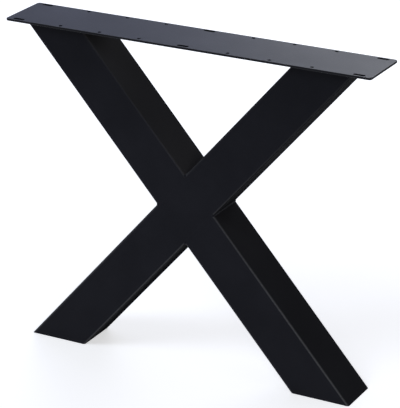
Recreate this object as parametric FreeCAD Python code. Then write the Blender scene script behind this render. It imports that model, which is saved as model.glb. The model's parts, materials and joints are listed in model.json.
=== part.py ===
"""X-shaped steel table leg: a slotted top plate on two crossing square tubes.

One tube runs through from the left foot to the right end of the plate. The other arm is two
half tubes, mitred to the through tube's sides and welded there. Plates set into the tubes close
the feet. Everything is black powder-coated steel.

Frame: millimetres, +X along the plate, +Y from front to back, +Z up. The origin is on the floor,
under the middle of the leg.
"""
import FreeCAD, Part
import math
import os

from FreeCAD import Placement, Rotation, Vector

# Overall sizes
LEG_HEIGHT = 720.0
TOP_SPREAD = 616.0        # between the arms' centre lines at the plate's underside
FOOT_SPREAD = 632.0       # between the arms' centre lines on the floor

# Square tube, cold-formed with rounded corners
TUBE_WIDTH = 100.0        # across the tube in the plane of the X
TUBE_DEPTH = 100.0        # front to back
TUBE_WALL = 2.0
TUBE_CORNER = 4.0         # outer radius of the corners

# Top plate, laser cut
PLATE_LENGTH = 835.0
PLATE_WIDTH = 130.0
PLATE_THICKNESS = 5.0
PLATE_CORNER = 6.0
PLATE_EDGE_ROUND = 0.6    # edges of the outline, broken before coating

# Fixings in the plate: slots at its middle and its ends, with a bay of screw holes between them
SLOT_LENGTH = 26.0
SLOT_WIDTH = 9.0
SLOT_INSET = 28.5         # from the plate's end to the centre of the end slots
HOLE_DIAMETER = 8.0
HOLES_PER_BAY = 3
HOLE_PITCH = 93.0
ROW_INSET = 8.0           # from the plate's long edge to the row of fixings

# Plates that close the feet, set in flush with the cut ends
FOOT_PLATE_THICKNESS = 4.0
FOOT_PLATE_GAP = 0.2      # to the tube's inner walls

# Fillet welds
PLATE_WELD_LEG = 5.0
JOINT_WELD_LEG = 5.0
WELD_CROWN = 0.5          # how far a bead's face stands out from flat

# Worked out from the sizes above
PLATE_UNDERSIDE = LEG_HEIGHT - PLATE_THICKNESS
ARM_RUN = (TOP_SPREAD + FOOT_SPREAD) / 2
ARM_LENGTH = math.hypot(ARM_RUN, PLATE_UNDERSIDE)
LEVEL_STRETCH = ARM_LENGTH / PLATE_UNDERSIDE   # a level cut across an arm is this much longer than square
CROSSING_HEIGHT = PLATE_UNDERSIDE * FOOT_SPREAD / (TOP_SPREAD + FOOT_SPREAD)
INNER_CORNER = max(TUBE_CORNER - TUBE_WALL, TUBE_WALL / 2)
FLAT_DEPTH = TUBE_DEPTH - 2 * TUBE_CORNER      # the flat stretch of a tube's side, front to back
THROUGH, MITRED = 1, -1                        # an arm leans towards +X or -X at its top


def arm_foot(lean):
    """Where an arm's centre line meets the floor."""
    return Vector(-lean * FOOT_SPREAD / 2, 0, 0)


def arm_direction(lean):
    """Unit vector up an arm's centre line."""
    return Vector(lean * ARM_RUN, 0, PLATE_UNDERSIDE) / ARM_LENGTH


def rounded_rectangle(length, width, radius):
    """Outline about the origin in the XY plane, with arcs at its corners."""
    corner_x = length / 2 - radius
    corner_y = width / 2 - radius
    edges = []
    for quarter, (side_x, side_y) in enumerate(((1, 1), (-1, 1), (-1, -1), (1, -1))):
        centre = Vector(side_x * corner_x, side_y * corner_y, 0)
        circle = Part.Circle(centre, Vector(0, 0, 1), radius)
        edges.append(Part.Arc(circle, quarter * math.pi / 2, (quarter + 1) * math.pi / 2).toShape())
    starts = [edge.valueAt(edge.FirstParameter) for edge in edges]
    ends = [edge.valueAt(edge.LastParameter) for edge in edges]
    sides = [Part.LineSegment(ends[i], starts[(i + 1) % 4]).toShape() for i in range(4)]
    return Part.Wire(Part.__sortEdges__(edges + sides))


def along_arm(outline, lean):
    """Prism of an outline carried along an arm, well past the floor and the plate."""
    overrun = 2 * TUBE_WIDTH * LEVEL_STRETCH
    direction = arm_direction(lean)
    prism = Part.Face(outline).extrude(Vector(0, 0, ARM_LENGTH + 2 * overrun))
    prism.Placement = Placement(arm_foot(lean) - direction * overrun, Rotation(Vector(0, 0, 1), direction))
    return prism


def slab(low, high):
    """Everything between two levels, wider than the leg."""
    length = PLATE_LENGTH + 2 * (TOP_SPREAD + FOOT_SPREAD + TUBE_WIDTH)
    width = PLATE_WIDTH + 2 * TUBE_DEPTH
    return Part.makeBox(length, width, high - low, Vector(-length / 2, -width / 2, low))


def rectangle(length, width):
    """Sharp-cornered outline about the origin."""
    x, y = length / 2, width / 2
    points = [Vector(-x, -y, 0), Vector(x, -y, 0), Vector(x, y, 0), Vector(-x, y, 0)]
    return Part.makePolygon(points + points[:1])


def tube_outside(lean):
    """The tube's outer form, as a solid bar."""
    return along_arm(rounded_rectangle(TUBE_WIDTH, TUBE_DEPTH, TUBE_CORNER), lean)


def tube_inside(lean, gap=0.0):
    """The tube's hollow, or a plug that clears its walls by a gap."""
    shrink = 2 * (TUBE_WALL + gap)
    radius = max(INNER_CORNER - gap, INNER_CORNER / 2)
    return along_arm(rounded_rectangle(TUBE_WIDTH - shrink, TUBE_DEPTH - shrink, radius), lean)


def whole_tube(lean):
    """One arm from the floor to the plate, with both ends cut level."""
    return tube_outside(lean).cut(tube_inside(lean)).common(slab(0, PLATE_UNDERSIDE))


def half_tubes():
    """The mitred arm without the stretch that the through tube takes: upper half, lower half."""
    through_tube_path = along_arm(rectangle(TUBE_WIDTH, 2 * TUBE_DEPTH), THROUGH)
    halves = whole_tube(MITRED).cut(through_tube_path).Solids
    lower, upper = sorted(halves, key=lambda solid: solid.CenterOfMass.z)
    return upper, lower


def fixing_rows():
    """Centres of the slots, then of the screw holes, which stand about the middle of each bay."""
    bay = PLATE_LENGTH / 2 - SLOT_INSET
    row_y = PLATE_WIDTH / 2 - ROW_INSET
    slots = [Vector(i * bay, side * row_y, 0) for i in (-1, 0, 1) for side in (-1, 1)]
    holes = []
    for bay_middle in (-bay / 2, bay / 2):
        for i in range(HOLES_PER_BAY):
            x = bay_middle + (i - (HOLES_PER_BAY - 1) / 2) * HOLE_PITCH
            holes += [Vector(x, side * row_y, 0) for side in (-1, 1)]
    return slots, holes


def slot_outline():
    """Slot about the origin, along X: two straight sides and two half-round ends."""
    reach = (SLOT_LENGTH - SLOT_WIDTH) / 2
    half = SLOT_WIDTH / 2
    edges = []
    for end in (1, -1):
        low, high = Vector(end * reach, -end * half, 0), Vector(end * reach, end * half, 0)
        tip = Vector(end * (reach + half), 0, 0)
        edges.append(Part.Arc(low, tip, high).toShape())
        edges.append(Part.LineSegment(high, Vector(-end * reach, end * half, 0)).toShape())
    return Part.Wire(edges)


def top_plate():
    """Flat bar with rounded corners, pierced by the slots and the screw holes."""
    outline = Part.Face(rounded_rectangle(PLATE_LENGTH, PLATE_WIDTH, PLATE_CORNER))
    plate = outline.extrude(Vector(0, 0, PLATE_THICKNESS))
    rims = [edge for edge in plate.Edges if edge.BoundBox.ZLength < PLATE_THICKNESS / 2]
    plate = plate.makeFillet(PLATE_EDGE_ROUND, rims)
    slots, holes = fixing_rows()
    cutters = []
    for centre in slots:
        slot = Part.Face(slot_outline()).extrude(Vector(0, 0, PLATE_THICKNESS))
        slot.translate(centre)
        cutters.append(slot)
    for centre in holes:
        cutters.append(Part.makeCylinder(HOLE_DIAMETER / 2, PLATE_THICKNESS, centre))
    plate = plate.cut(cutters)
    plate.translate(Vector(0, 0, PLATE_UNDERSIDE))
    return plate


def foot_plate(lean):
    """Plug in the foot of an arm, flush with the level cut."""
    return tube_inside(lean, FOOT_PLATE_GAP).common(slab(0, FOOT_PLATE_THICKNESS))


def fillet_bead(corner, along_one, along_other, leg, root, length):
    """Weld bead in a corner between two faces, from front to back.

    Its section has a leg on each face, an outer side that bulges by the crown, and a root in the corner.
    """
    middle_to_start = Vector(0, length / 2, 0)
    toe_one = corner + along_one * leg - middle_to_start
    toe_other = corner + along_other * leg - middle_to_start
    outwards = (along_one + along_other).normalize()
    crown = (toe_one + toe_other) / 2 + outwards * WELD_CROWN
    start = root - middle_to_start
    face = Part.Arc(toe_one, crown, toe_other).toShape()
    edges = [Part.LineSegment(start, toe_one).toShape(), face, Part.LineSegment(toe_other, start).toShape()]
    return Part.Face(Part.Wire(edges)).extrude(Vector(0, length, 0))


def plate_welds(lean):
    """Beads between the plate's underside and the flat of the two sloping sides of an arm's top end."""
    up = arm_direction(lean)
    centre = arm_foot(lean) + up * ARM_LENGTH
    beads = []
    for side in (-1, 1):
        outwards = Vector(side, 0, 0)
        corner = centre + outwards * (TUBE_WIDTH / 2 * LEVEL_STRETCH)
        beads.append(fillet_bead(corner, outwards, -up, PLATE_WELD_LEG, corner, FLAT_DEPTH))
    return Part.makeCompound(beads)


def joint_corner(towards_one, towards_other, depth=0.0):
    """The corner of the crossing between two arms' directions, or a point at a depth inside both tubes."""
    sine = towards_one.cross(towards_other).Length
    return Vector(0, 0, CROSSING_HEIGHT) + (towards_one + towards_other) * ((TUBE_WIDTH / 2 - depth) / sine)


def joint_fillet_welds(half_direction):
    """Beads in the two corners between one half tube and the through tube.

    They run from the front face to the back, and fill the pits that the rounded edges leave there.
    """
    tubes = [tube_outside(THROUGH), tube_outside(MITRED)]
    beads = []
    for through_direction in (arm_direction(THROUGH), -arm_direction(THROUGH)):
        directions = (half_direction, through_direction)
        root = joint_corner(*directions, depth=TUBE_CORNER)
        bead = fillet_bead(joint_corner(*directions), *directions, JOINT_WELD_LEG, root, TUBE_DEPTH)
        beads += bead.cut(tubes).Solids
    return Part.makeCompound(beads)


def joint_flush_welds():
    """Weld metal that fills the through tube's rounded edges where the half tubes meet it.

    Ground flush, it carries the front and back faces across the joint. Upper pair, lower pair.
    """
    squared_edges = along_arm(rectangle(TUBE_WIDTH, TUBE_DEPTH), THROUGH).cut(tube_outside(THROUGH))
    fills = squared_edges.common(tube_outside(MITRED)).Solids
    upper = [solid for solid in fills if solid.CenterOfMass.z > CROSSING_HEIGHT]
    lower = [solid for solid in fills if solid.CenterOfMass.z < CROSSING_HEIGHT]
    return Part.makeCompound(upper), Part.makeCompound(lower)


def main():
    upper_half, lower_half = half_tubes()
    upper_flush, lower_flush = joint_flush_welds()
    nodes = {
        "top_plate": top_plate(),
        "through_tube": whole_tube(THROUGH),
        "upper_half_tube": upper_half,
        "lower_half_tube": lower_half,
        "left_foot_plate": foot_plate(THROUGH),
        "right_foot_plate": foot_plate(MITRED),
        "left_plate_welds": plate_welds(MITRED),
        "right_plate_welds": plate_welds(THROUGH),
        "upper_joint_fillet_welds": joint_fillet_welds(arm_direction(MITRED)),
        "lower_joint_fillet_welds": joint_fillet_welds(-arm_direction(MITRED)),
        "upper_joint_flush_welds": upper_flush,
        "lower_joint_flush_welds": lower_flush,
    }
    os.makedirs("parts", exist_ok=True)
    for name, shape in nodes.items():
        shape.exportStep(f"parts/{name}.step")
        print(name, len(shape.Solids), "solids", round(shape.Volume), "mm3", "valid" if shape.isValid() else "BAD")


main()
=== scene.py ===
# %% [markdown]
# # A black X-shaped table leg
#
# The leg is welded from square steel tube: one tube runs through from foot to plate, two half tubes
# meet it at the crossing, and a flat plate with slots and screw holes carries the table top. All of
# it wears one fine satin-matt coat of baked black powder. The solids come from the packed model, so
# what is left for Blender is the finish, the rippled weld beads, the light and the camera.

# %% Load the packed leg
import json

import bpy
import numpy as np
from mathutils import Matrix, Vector


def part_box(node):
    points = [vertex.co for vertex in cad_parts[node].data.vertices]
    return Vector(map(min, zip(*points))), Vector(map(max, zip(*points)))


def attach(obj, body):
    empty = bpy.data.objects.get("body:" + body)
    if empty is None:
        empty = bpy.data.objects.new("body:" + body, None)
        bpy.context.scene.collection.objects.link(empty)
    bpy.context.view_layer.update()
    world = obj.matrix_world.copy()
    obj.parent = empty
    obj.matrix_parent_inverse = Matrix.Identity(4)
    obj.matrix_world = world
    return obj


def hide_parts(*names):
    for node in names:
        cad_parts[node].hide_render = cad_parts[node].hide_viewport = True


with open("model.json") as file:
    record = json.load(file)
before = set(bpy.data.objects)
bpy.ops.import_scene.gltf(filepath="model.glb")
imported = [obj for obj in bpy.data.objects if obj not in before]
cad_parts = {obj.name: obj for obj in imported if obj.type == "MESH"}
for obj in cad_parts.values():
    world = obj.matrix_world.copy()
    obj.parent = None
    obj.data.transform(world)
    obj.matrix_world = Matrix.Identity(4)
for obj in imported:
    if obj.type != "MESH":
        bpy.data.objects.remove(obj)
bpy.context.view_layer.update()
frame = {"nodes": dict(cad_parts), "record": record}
nodes = frame["nodes"]
print("nodes:", sorted(nodes))

# %% [markdown]
# ## Reading the leg's measures
#
# The weld beads and the coat's thin edges have to sit exactly on the tubes. Numbers could be copied
# from the drawing, but then they would go stale when the leg changes. The boxes of the nodes and the
# mounts of the record already say it all: where the arms stand, how they lean and how thick they are.

# %% Measures of the arms and the plate
MM = 0.001
mounts = {mount["name"]: mount for mount in frame["record"]["mounts"]}
tube_low, tube_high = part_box("through_tube")
plate_low, plate_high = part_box("top_plate")

foot_x = mounts["right_floor_face"]["pos_m"][0]
half_cut = -tube_low.x - foot_x              # half the length of a level cut across an arm
top_x = tube_high.x - half_cut
underside = tube_high.z
through_up = np.array([top_x + foot_x, 0.0, underside])
through_up /= np.linalg.norm(through_up)
mitred_up = through_up * [-1, 1, 1]
half_width = half_cut * through_up[2]        # half the tube, square across it
half_depth = tube_high.y
crossing = np.array([0.0, 0.0, underside * foot_x / (top_x + foot_x)])
print(f"tube {2 * half_width / MM:.1f} by {2 * half_depth / MM:.1f} mm,"
      f" crossing {crossing[2] / MM:.1f} mm above the floor")

# %% [markdown]
# ## Shader sums as Python sums
#
# A procedural finish is mostly arithmetic on coordinates and noise. Wiring each Math node by hand
# hides the formula, so one small class stands for a socket: `1 - mask * 0.3` on it adds the Math
# nodes, and its `node` method adds any other kind of node with its settings and inputs.


# %% A socket that does sums
class Value:
    """An output socket in a material. Arithmetic with it adds Math nodes to the tree."""

    def __init__(self, tree, socket=None):
        self.tree = tree
        self.socket = socket

    def node(self, kind, inputs=None, output=0, **settings):
        """Adds a node: its settings first, then its inputs by name or number, and gives one output."""
        made = self.tree.nodes.new(kind)
        for name, setting in settings.items():
            setattr(made, name, setting)
        for key, value in (inputs or {}).items():
            if isinstance(value, Value):
                self.tree.links.new(value.socket, made.inputs[key])
            else:
                made.inputs[key].default_value = value
        return Value(self.tree, made.outputs[output])

    def math(self, operation, *others):
        """A Math node that takes this value first and the others after it."""
        return self.node("ShaderNodeMath", dict(enumerate((self, *others))), operation=operation)

    def __add__(self, other):
        return self.math("ADD", other)

    def __mul__(self, other):
        return self.math("MULTIPLY", other)

    def __sub__(self, other):
        return self.math("SUBTRACT", other)

    def __rsub__(self, other):
        return self.node("ShaderNodeMath", {0: other, 1: self}, operation="SUBTRACT")

    def __abs__(self):
        return self.math("ABSOLUTE")

    __radd__ = __add__
    __rmul__ = __mul__

    def rise(self, start, end):
        """0 below start and 1 above end, with a smooth step between them."""
        inputs = {"Value": self, "From Min": start, "From Max": end}
        return self.node("ShaderNodeMapRange", inputs, interpolation_type="SMOOTHSTEP")

    def noise(self, scale, detail, roughness=0.5):
        """Noise about 0.5 at these coordinates, with features of about 1 / scale metres."""
        inputs = {"Vector": self, "Scale": scale, "Detail": detail, "Roughness": roughness}
        return self.node("ShaderNodeTexNoise", inputs)

    def axis(self, name):
        """The X, Y or Z of these coordinates."""
        return self.node("ShaderNodeSeparateXYZ", {0: self}, output=name)

    def between(self, low, high):
        """Colour that goes from low to high, colours or sockets, as this value goes from 0 to 1."""
        low, high = [end if isinstance(end, Value) else (*end, 1) for end in (low, high)]
        # a Mix node has sockets for every kind of data: its colours are inputs 6 and 7, and output 2
        return self.node("ShaderNodeMix", {0: self, 6: low, 7: high}, output=2, data_type="RGBA")


print("beside sums, a Value offers", [name for name in vars(Value) if not name.startswith("_")])

# %% [markdown]
# ## The powder coat
#
# Powder is sprayed on with no liquid and melts into a film, so its surface is not quite flat: there
# is a soft orange peel a few millimetres across, and a fine satin grain on top of it. Along the edges
# a lighter colour is painted as a highlight, and they are a little smoother; where shade falls a
# darker colour is painted as shade, and it is rougher there. Film that is fully dull mirrors nothing,
# and how much a shader mirrors is one number for all of it, so dull film is a second shader that a
# mask mixes in, and its colour is painted shade and light.
# Image textures could hold this, but noise on Object coordinates keeps the true scale on every piece
# and has no seams.

# %% Colours of the film
COAT_DEEP = (0.0088, 0.0091, 0.0125)         # thick film, in the lows of the clouding
COAT_OPEN = (0.0152, 0.0155, 0.0200)         # thinner film, slightly greyer
PAINTED_EDGE_HIGHLIGHT = (0.0780, 0.0785, 0.0810)         # painted highlight along the edges
PAINTED_SHADE = (0.0058, 0.0060, 0.0068)          # painted shade, darker than the film
print("film from", PAINTED_SHADE, "where it is dry to", PAINTED_EDGE_HIGHLIGHT, "on the edges")

# %% Gloss and texture of the film
COAT_SPECULAR = 0.06                         # a matt coat mirrors little when seen straight on
COAT_ROUGHNESS = 0.47
EDGE_SMOOTHNESS = 0.30                       # taken off where the edge highlight is painted
SHADE_ROUGHNESS = 0.50                         # added where shade is painted
CLOUDS = {"scale": 9.0, "detail": 3.0}
PEEL = {"scale": 260.0, "detail": 1.0}
GRAIN = {"scale": 1100.0, "detail": 2.0, "roughness": 0.6}
NOISE_MEAN = 0.5
CLOUD_SPAN, GRAIN_SPAN = (0.30, 0.70), (0.35, 0.65)      # noise from closed film to open film
CLOUD_OPENS, GRAIN_OPENS = 0.6, 0.4          # their shares in how open the film is
CLOUD_ROUGHENS, GRAIN_ROUGHENS = 0.10, 0.12
PEEL_HEIGHT, GRAIN_HEIGHT = 0.110 * MM, 0.045 * MM
HIGHLIGHT_EVEN, HIGHLIGHT_PATCHY = 0.36, 0.80          # painted edge highlight that is even, and that follows the peel
for kind, texture in (("clouds", CLOUDS), ("peel", PEEL), ("grain", GRAIN)):
    print(f"{kind} about {1 / texture['scale'] / MM:.1f} mm across")

# %% One coat for every piece
JOINT_PEEL = 1.3                             # height of the peel on ground joints, against the tubes'


def powder_coat(name, highlight_mask=None, shade_mask=None, dull_film=None, peel=1.0, specular=COAT_SPECULAR):
    """The black coat, from functions of Object coordinates.

    The highlight mask gives 1 where a highlight is painted, the shade mask 1 where shade is painted, and
    both give 0 elsewhere. The dull film gives its share of the surface and its colour, painted shade and
    light.
    """
    material = bpy.data.materials.new(name)
    material.use_nodes = True
    tree = material.node_tree
    place = Value(tree).node("ShaderNodeTexCoord", output="Object")
    clouds, peel_noise, grain = [place.noise(**texture) for texture in (CLOUDS, PEEL, GRAIN)]
    open_film = clouds.rise(*CLOUD_SPAN) * CLOUD_OPENS + grain.rise(*GRAIN_SPAN) * GRAIN_OPENS
    colour = open_film.between(COAT_DEEP, COAT_OPEN)
    roughness = (COAT_ROUGHNESS + CLOUD_ROUGHENS * (clouds - NOISE_MEAN)
                 + GRAIN_ROUGHENS * (grain - NOISE_MEAN))
    if highlight_mask:
        # a lighter colour painted along the edges as a highlight, where they are also smoother
        highlighted = highlight_mask(place) * (HIGHLIGHT_EVEN + HIGHLIGHT_PATCHY * peel_noise)
        colour = highlighted.between(colour, PAINTED_EDGE_HIGHLIGHT)
        roughness = roughness - EDGE_SMOOTHNESS * highlighted
    if shade_mask:
        # a darker colour painted where shade falls, and the film is rougher there
        dry = shade_mask(place)
        colour = dry.between(colour, PAINTED_SHADE)
        roughness = roughness + SHADE_ROUGHNESS * dry
    height = peel_noise * (PEEL_HEIGHT * peel) + grain * GRAIN_HEIGHT
    normal = height.node("ShaderNodeBump", {"Height": height, "Distance": 1.0})
    shader = tree.nodes["Principled BSDF"]
    shader.inputs["Specular IOR Level"].default_value = specular
    for socket, value in (("Base Color", colour), ("Roughness", roughness), ("Normal", normal)):
        tree.links.new(value.socket, shader.inputs[socket])
    if dull_film:
        share, dull_colour = dull_film(place)
        inputs = {"Base Color": dull_colour, "Roughness": 1.0, "Specular IOR Level": 0.0, "Normal": normal}
        dull = place.node("ShaderNodeBsdfPrincipled", inputs)
        satin = Value(tree, shader.outputs["BSDF"])
        surface = place.node("ShaderNodeMixShader", {0: share, 1: satin, 2: dull})
        tree.links.new(surface.socket, tree.nodes["Material Output"].inputs["Surface"])
    print("material", name, "with", len(tree.nodes), "nodes")
    return material


joint_coat = powder_coat("ground_joint_coat", peel=JOINT_PEEL)   # on the foot plates and the flush welds

# %% [markdown]
# ## Where highlights, shade and light are painted on the coat
#
# On the tubes a highlight is painted along the four rounded corners, strongest near the floor, and
# on the plate along its broken edges. Shade is painted on the sides that look down, on the plate's
# cut faces, darkest in the slots and holes, and on the front and back close under the plate. On the
# sides that look down the film is dull and the painted shade is darker further back. The sides that
# look up are dull too and painted lighter, most of all in the V above the crossing and close under
# the plate. A mask could be painted, but the shapes are simple enough to work out: how far a point
# lies across its arm, front to back and above the floor.

# %% The sides of a leaning tube
SIDE_FADE = 1.6 * MM, 0.4 * MM               # how far short of a side its painted shade and light start, and are whole
CHANGE = (0.15, 0.55)                        # heights between which the painted tones near the floor give way to those higher up


def across_tube(place, up):
    """How far a point lies from the middle of a tube that leans along up, to its lower side."""
    sideways, height = place.axis("X") - crossing[0], place.axis("Z") - crossing[2]
    return sideways * (np.sign(up[0]) * up[2]) - height * abs(up[0])


def tube_sides(place, up):
    """Masks for the sides of a leaning tube: the one that looks down and the one that looks up."""
    across = across_tube(place, up)
    limits = [half_width - short for short in SIDE_FADE]
    return across.rise(*limits), (0 - across).rise(*limits)


def by_height(place, low, high):
    """Goes from one value near the floor to another higher up."""
    return low + (high - low) * place.axis("Z").rise(*CHANGE)


print(f"the film changes between {CHANGE[0] / MM:.0f} and {CHANGE[1] / MM:.0f} mm above the floor")

# %% Painted shade on a tube
SHELTER, PLATE_SHADOW_STRENGTH = 0.26, 0.36            # how far below the plate a shadow is painted, and how dark at most


def tube_painted_shade(up):
    """Mask for painted shade on a leaning tube: the side that looks down, and a painted shadow under the
    plate.
    """
    def mask(place):
        down, looks_up = tube_sides(place, up)
        # a painted shadow under the plate, left off the side that looks up
        plate_shadow = PLATE_SHADOW_STRENGTH * place.axis("Z").rise(underside - SHELTER, underside)
        return down.math("MAXIMUM", plate_shadow * (1 - looks_up))
    return mask


print(f"dry film under the plate down to {(underside - SHELTER) / MM:.0f} mm above the floor")

# %% Dull film with painted shade and light on a tube
DULL_DOWN = (0.82, 0.30)                     # share of dull film with painted shade on a side that looks down, low and high up
DULL_FRONT = 0.15                            # what is left of that share at the front, so the painted shade is darker further back
DULL_UP = (0.50, 0.62)                       # share of dull film with painted light on a side that looks up, low and high up
PAINTED_SIDE_LIGHT_LOW = (0.0205, 0.0195, 0.0185)       # the light painted there, near the floor
PAINTED_SIDE_LIGHT_HIGH = (0.0330, 0.0312, 0.0303)      # and higher up
PAINTED_CORNER_LIGHT = (0.0520, 0.0490, 0.0475)      # painted light against the shade at the tip of the V above the crossing
CORNER_LIGHT_REACH, CORNER_LIGHT_TOP = 0.11, 0.16          # how far up from the tip of the V, and down from the plate, that light is painted
UNDER_PLATE_LIGHT = 0.8                            # how much light is painted close under the plate, against the V
v_tip = crossing[2] + half_width / through_up[0]


def corner_light_mask(place):
    """Mask for painted light against the shade: at the tip of the V, and less of it close under the plate.
    """
    height = place.axis("Z")
    in_v = height.rise(crossing[2], v_tip) * (1 - height.rise(v_tip, v_tip + CORNER_LIGHT_REACH))
    return in_v + UNDER_PLATE_LIGHT * height.rise(underside - CORNER_LIGHT_TOP, underside)


def tube_dull(up):
    """Share and colour of the dull film: painted shade on the side that looks down, painted light on the
    other.
    """
    def film(place):
        down, looks_up = tube_sides(place, up)
        inwards = DULL_FRONT + (1 - DULL_FRONT) * place.axis("Y").rise(-half_depth, 0)
        share = down * by_height(place, *DULL_DOWN) * inwards + looks_up * by_height(place, *DULL_UP)
        painted_light_colour = place.axis("Z").rise(*CHANGE).between(PAINTED_SIDE_LIGHT_LOW, PAINTED_SIDE_LIGHT_HIGH)
        painted_light_colour = corner_light_mask(place).between(painted_light_colour, PAINTED_CORNER_LIGHT)
        return share, down.between(painted_light_colour, PAINTED_SHADE)
    return film


print(f"the V has its tip {v_tip / MM:.0f} mm above the floor")

# %% Painted highlights on a tube's edges
EDGE_FADE = 5.0 * MM, 1.0 * MM               # how far short of a side its painted highlight starts, and is strongest
HIGHLIGHT_NEAR_FLOOR, HIGHLIGHT_HIGH_UP = 1.35, 0.34                    # how strong the painted highlight is, near the floor and higher up


def tube_edge_highlight(up):
    """Mask for the painted highlight on a tube that leans along up: near a side and near the front or back
    at once.
    """
    def near(distance, limit):
        return abs(distance).rise(*[limit - short for short in EDGE_FADE])

    def mask(place):
        corner = near(across_tube(place, up), half_width) * near(place.axis("Y"), half_depth)
        return corner * by_height(place, HIGHLIGHT_NEAR_FLOOR, HIGHLIGHT_HIGH_UP)
    return mask


print(f"thin film up to {EDGE_FADE[0] / MM:.0f} mm from a tube's edges")

# %% Painted highlights and shade on the plate
RIM_BAND = 1.6 * MM                          # how far the painted highlight reaches from the plate's edges
BROKEN_EDGE = 0.6 * MM                       # above and below the plate's cut faces
OUTLINE_SHADE = 0.45                           # how dark the painted shade on the cut faces of the outline is


def plate_distances(place):
    """How far a point lies inside the plate's long edges, inside its ends and inside its two faces."""
    half, middle = (plate_high - plate_low) / 2, (plate_high + plate_low) / 2
    return [half[axis] - abs(place.axis("XYZ"[axis]) - middle[axis]) for axis in (1, 0, 2)]


def plate_edge_highlight(place):
    """Mask for the painted highlight on the plate's broken edges: near its outline, and near its top or
    underside, at once.
    """
    long_edge, end, face = [1 - distance.rise(0, RIM_BAND) for distance in plate_distances(place)]
    return long_edge.math("MAXIMUM", end) * face


def plate_cut_faces(place):
    """Mask for painted shade on the faces that the laser cut: between the broken edges, darkest in the
    slots and holes.
    """
    long_edge, end, face = plate_distances(place)
    inside = long_edge.math("MINIMUM", end).rise(RIM_BAND, 2 * RIM_BAND)
    return face.rise(BROKEN_EDGE / 2, BROKEN_EDGE) * (OUTLINE_SHADE + (1 - OUTLINE_SHADE) * inside)


print(f"plate {(plate_high.z - plate_low.z) / MM:.1f} mm thick, with edges broken by {BROKEN_EDGE / MM} mm")

# %% Coat the solids
PLATE_SPECULAR = 0.135                       # the film flows out flatter on the level plate
PLATE_PEEL = 0.8                             # and its peel is lower


def tube_coat(name, up):
    """The coat of a tube that leans along up."""
    return powder_coat(name, tube_edge_highlight(up), tube_painted_shade(up), tube_dull(up))


coats = {"through_tube": tube_coat("through_tube_coat", through_up)}
coats["upper_half_tube"] = coats["lower_half_tube"] = tube_coat("half_tube_coat", mitred_up)
coats["top_plate"] = powder_coat("plate_coat", plate_edge_highlight, plate_cut_faces,
                                 peel=PLATE_PEEL, specular=PLATE_SPECULAR)
for name, piece in nodes.items():
    piece.data.materials.clear()
    piece.data.materials.append(coats.get(name, joint_coat))
print("coated", len(nodes), "nodes")

# %% [markdown]
# ## Weld beads with ripples
#
# Each bead is a run of overlapping puddles, so its face is a row of crescents about two millimetres
# apart and its toes wander a little. A bump could suggest that, but the beads show against the light
# in the corners of the crossing, so they are real surfaces: a crowned section between two toes,
# carried along the corner from front to back. At the crossing a bead dips with the tubes' rounded
# edges and ends flush with their faces. Under the plate it fades out on the flat of the tube.

# %% Sizes of a bead
JOINT_LEG, PLATE_LEG = 2.8 * MM, 5.0 * MM    # from the corner to a toe
BEAD_CROWN = 0.5 * MM
BEAD_END = 4.0 * MM                          # over which a bead fades out or is ground flush
BLUNT = 0.3                                  # share of its leg that a bead keeps where it is ground flush
TIP = 0.02                                   # share of its leg that it keeps where it fades out
RIPPLE_PITCH = 2.4 * MM
RIPPLE_HEIGHT = 0.28 * MM
RIPPLE_BOW = 0.45                            # how far a crescent trails at the toes, in pitches
RIPPLE_SHARPNESS = 1.4                       # over 1, the crests are narrower than the hollows
TOE_WAVE, TOE_TREMBLE = (0.05, 190.0), (0.03, 510.0)    # share of the leg, and radians a metre
PITCH_DRIFT = (0.25, 130.0)                  # in pitches, and radians a metre
PHASE_STEP, TREMBLE_PHASE = 1.7, 2.3         # so that no two beads, and no two waves, run alike
FAN, STEPS = 13, 460                         # points across a bead's face, and rings along it
flat_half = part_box("left_plate_welds")[1].y  # the flat stretch of a tube's side, from its middle
corner_radius = half_depth - flat_half
print(f"about {2 * half_depth / RIPPLE_PITCH:.0f} ripples along a bead of {2 * half_depth / MM:.0f} mm")


# %% The surface of a bead
def sine_along(along, wave, phase):
    """A sine along the bead: its height and its radians a metre are the wave's two numbers."""
    height, radians = wave
    return height * np.sin(along * radians + phase)


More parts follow.
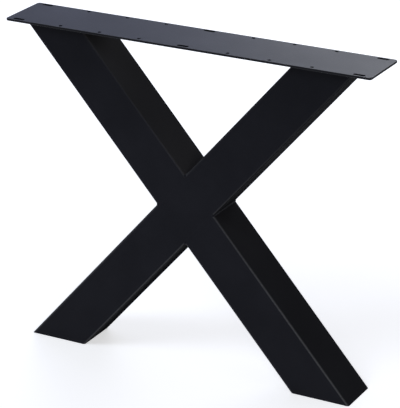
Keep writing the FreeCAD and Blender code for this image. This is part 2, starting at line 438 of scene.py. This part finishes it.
def bead_points(corner, one, other, leg, to_faces, phase):
    """A section with a root, two toes and a crowned face, carried along the corner from front to back.

    The toes lie a leg away from the corner, along one face and along the other. The face between them
    is their straight join, plus a crown that is largest in the middle, plus ripples: a raised cosine
    along the bead, delayed towards the toes. A bead that runs to the front and back faces sinks by the
    tube's corner radius there, as a quarter circle, and fills the pit between the rounded edges. Any
    other bead ends on the flat, where its section shrinks like a quarter ellipse.
    """
    half_length = half_depth if to_faces else flat_half
    along = np.linspace(-half_length, half_length, STEPS)[:, None]
    u = np.linspace(1, -1, FAN)[None, :]
    into_end = np.clip((np.abs(along) - half_length + BEAD_END) / BEAD_END, 0, 1)
    rounded = np.sqrt(np.clip(1 - into_end ** 2, TIP ** 2, 1))
    size = BLUNT + (1 - BLUNT) * rounded if to_faces else rounded
    past_flat = np.clip(np.abs(along) - flat_half, 0, corner_radius)
    sunk = corner_radius - np.sqrt(corner_radius ** 2 - past_flat ** 2)
    tremble = sine_along(along, TOE_TREMBLE, TREMBLE_PHASE * phase)
    wander = 1 + sine_along(along, TOE_WAVE, phase) + tremble
    turns = along / RIPPLE_PITCH + sine_along(along, PITCH_DRIFT, phase) - RIPPLE_BOW * u ** 2
    ripple = (0.5 + 0.5 * np.cos(2 * np.pi * turns)) ** RIPPLE_SHARPNESS - 0.5
    swell = (BEAD_CROWN + RIPPLE_HEIGHT * ripple) * (1 - u ** 2) * rounded

    sine = np.linalg.norm(np.cross(one, other))
    off_one = (other - (one @ other) * one) / sine
    off_other = (one - (one @ other) * other) / sine
    outwards = (one + other) / np.linalg.norm(one + other)
    middle_line = corner + along * [0, 1, 0]
    toe_one = middle_line + one * leg * wander * size - off_one * sunk
    toe_other = middle_line + other * leg * wander * size - off_other * sunk
    root = middle_line - (one + other) * sunk / sine
    share = (1 + u[..., None]) / 2
    face = toe_one[:, None] * share + toe_other[:, None] * (1 - share) + outwards * swell[..., None]
    rings = np.concatenate([root[:, None], face], axis=1)
    return rings.reshape(-1, 3), rings[[0, -1]].mean(axis=1)


print("a bead has", STEPS * (FAN + 1) + 2, "points")

# %% Faces and pieces
WELD_PEEL = 1.6                              # height of the peel on weld metal, against the tubes'
weld_coat = powder_coat("weld_coat", peel=WELD_PEEL)


def bead_faces(rows, columns, first):
    """Quads round a closed grid of rows by columns, and triangles to a tip at either end."""
    i, j = np.meshgrid(np.arange(rows - 1), np.arange(columns), indexing="ij")
    after = (j + 1) % columns
    row, next_row = i * columns, (i + 1) * columns
    quads = np.stack([row + j, row + after, next_row + after, next_row + j], -1)
    ring = np.arange(columns)
    low_tip, high_tip = rows * columns, rows * columns + 1
    low_fan = np.stack([(ring + 1) % columns, ring, np.full(columns, low_tip)], -1)
    last = (rows - 1) * columns
    high_fan = np.stack([last + ring, last + (ring + 1) % columns, np.full(columns, high_tip)], -1)
    return [(part + first).tolist() for part in (quads.reshape(-1, 4), low_fan, high_fan)]


def weld_piece(name, node, corners, leg, to_faces):
    """One mesh with a bead in each corner. A corner is a point and the directions of its two faces."""
    points, faces = [], []
    for count, (corner, one, other) in enumerate(corners):
        outwards = np.cross(one, other)[1] > 0
        pair = (one, other) if outwards else (other, one)
        body, tips = bead_points(corner, *pair, leg, to_faces, PHASE_STEP * count)
        first = sum(len(part) for part in points)
        points += [body, tips]
        for part in bead_faces(STEPS, FAN + 1, first):
            faces += part
    mesh = bpy.data.meshes.new(name)
    mesh.from_pydata(np.concatenate(points).tolist(), [], faces)
    mesh.polygons.foreach_set("use_smooth", np.ones(len(mesh.polygons), bool))
    mesh.update()
    piece = bpy.data.objects.new(name, mesh)
    bpy.context.scene.collection.objects.link(piece)
    piece.data.materials.append(weld_coat)
    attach(piece, "root")
    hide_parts(node)
    print(name, len(mesh.polygons), "faces")


# %% Beads at the crossing and under the plate
def crossing_corner(one, other):
    """The corner of the crossing between two arms' directions: half a tube along both, over their sine."""
    sine = np.linalg.norm(np.cross(one, other))
    return crossing + (one + other) * half_width / sine, one, other


def plate_corner(up, side):
    """The line where an arm's sloping side meets the plate's underside."""
    top = np.array([np.sign(up[0]) * top_x, 0.0, underside])
    outwards = np.array([side, 0.0, 0.0])
    return top + outwards * half_cut, outwards, -up


for half, away in (("upper", 1), ("lower", -1)):
    corners = [crossing_corner(away * mitred_up, turn * through_up) for turn in (away, -away)]
    weld_piece(f"{half}_joint_beads", f"{half}_joint_fillet_welds", corners, JOINT_LEG, to_faces=True)
for end, up in (("left", mitred_up), ("right", through_up)):
    corners = [plate_corner(up, side) for side in (-1.0, 1.0)]
    weld_piece(f"{end}_plate_beads", f"{end}_plate_welds", corners, PLATE_LEG, to_faces=False)

# %% [markdown]
# ## Floor and studio light
#
# The leg stands on a pale floor that fills the picture. Its own colour comes out a little under
# white, so rays from the camera and from reflections also see a small glow there: away from the leg
# the floor is white, and close to the feet its soft shadow stays. A lamp behind the leg and a bluish
# one like a window, further left, are what the plate's top mirrors. A key lamp at the front left
# lights the arms, and a low front lamp near the camera finds their rounded edges.

# %% The floor
FLOOR_HALF = 30.0
FLOOR_COLOUR = (0.89, 0.88, 0.86)
FLOOR_ROUGHNESS = 0.9
FLOOR_GLOW = 0.60

floor_corners = [(x * FLOOR_HALF, y * FLOOR_HALF, 0) for x, y in ((-1, -1), (1, -1), (1, 1), (-1, 1))]
floor_mesh = bpy.data.meshes.new("floor")
floor_mesh.from_pydata(floor_corners, [], [(0, 1, 2, 3)])
floor = bpy.data.objects.new("floor", floor_mesh)
bpy.context.scene.collection.objects.link(floor)

floor_material = bpy.data.materials.new("pale_floor")
floor_material.use_nodes = True
floor_tree = floor_material.node_tree
floor_shader = floor_tree.nodes["Principled BSDF"]
floor_shader.inputs["Base Color"].default_value = (*FLOOR_COLOUR, 1)
floor_shader.inputs["Roughness"].default_value = FLOOR_ROUGHNESS
floor_shader.inputs["Specular IOR Level"].default_value = 0.0
rays = [Value(floor_tree).node("ShaderNodeLightPath", output=name)
        for name in ("Is Camera Ray", "Is Glossy Ray", "Is Transmission Ray")]
seen = (rays[0] + rays[1] + rays[2]).math("MINIMUM", 1.0)
glow = seen.node("ShaderNodeEmission", {"Strength": seen * FLOOR_GLOW})
whole = glow.node("ShaderNodeAddShader", {0: glow, 1: Value(floor_tree, floor_shader.outputs[0])})
floor_tree.links.new(whole.socket, floor_tree.nodes["Material Output"].inputs["Surface"])
floor.data.materials.append(floor_material)
print("floor", 2 * FLOOR_HALF, "m across")

# %% The room and the lamps
ROOM_LIGHT = (0.16, 0.17, 0.20)
LEG_MIDDLE = Vector((0, 0, plate_high.z / 2))

world = bpy.data.worlds.new("studio")
bpy.context.scene.world = world
world.use_nodes = True
world.node_tree.nodes["Background"].inputs["Color"].default_value = (*ROOM_LIGHT, 1)


def soft_lamp(name, place, size, radiance, colour):
    """A rectangular lamp that faces the leg. Its power is radiance times area times pi."""
    width, height = size
    light = bpy.data.lights.new(name, "AREA")
    light.shape = "RECTANGLE"
    light.size, light.size_y = width, height
    light.energy = radiance * width * height * np.pi
    light.color = colour
    lamp = bpy.data.objects.new(name, light)
    bpy.context.scene.collection.objects.link(lamp)
    lamp.location = place
    lamp.rotation_euler = (LEG_MIDDLE - Vector(place)).to_track_quat("-Z", "Y").to_euler()
    print(name, f"{light.energy:.0f} W")


soft_lamp("back_lamp", place=(-0.52, 3.0, 1.9), size=(1.5, 1.4), radiance=4.45, colour=(0.88, 0.91, 1.0))
soft_lamp("window_lamp", place=(-2.4, 2.8, 1.9), size=(2.3, 1.8), radiance=1.5, colour=(0.65, 0.71, 1.0))
soft_lamp("key_lamp", place=(-1.7, -2.6, 3.8), size=(2.0, 2.0), radiance=4.75, colour=(0.79, 0.86, 1.0))
soft_lamp("front_lamp", place=(2.6, -3.6, 1.5), size=(1.4, 1.4), radiance=5.0, colour=(1.0, 0.98, 0.95))

# %% [markdown]
# ## The camera
#
# The picture was taken with a long lens, from the right and from a little over two metres up. The
# place and the lens were found by lining up the edges of the tubes and the plate, so they are plain
# values here, with no shift and no depth of field.

# %% Camera at the picture's view
CAMERA_AT = Vector((2.0966, -3.8735, 2.1068))
LOOK_AT = Vector((0.0086, 0.0, 0.3600))
LENS, SENSOR = 200.3, 36.0                   # millimetres, the sensor along the picture's long side

camera_data = bpy.data.cameras.new("camera")
camera_data.lens = LENS
camera_data.sensor_width = SENSOR
camera = bpy.data.objects.new("camera", camera_data)
bpy.context.scene.collection.objects.link(camera)
camera.location = CAMERA_AT
camera.rotation_euler = (LOOK_AT - CAMERA_AT).to_track_quat("-Z", "Y").to_euler()
bpy.context.scene.camera = camera
bpy.context.scene.view_settings.view_transform = "Standard"
print(f"camera {(LOOK_AT - CAMERA_AT).length:.2f} m from the leg")
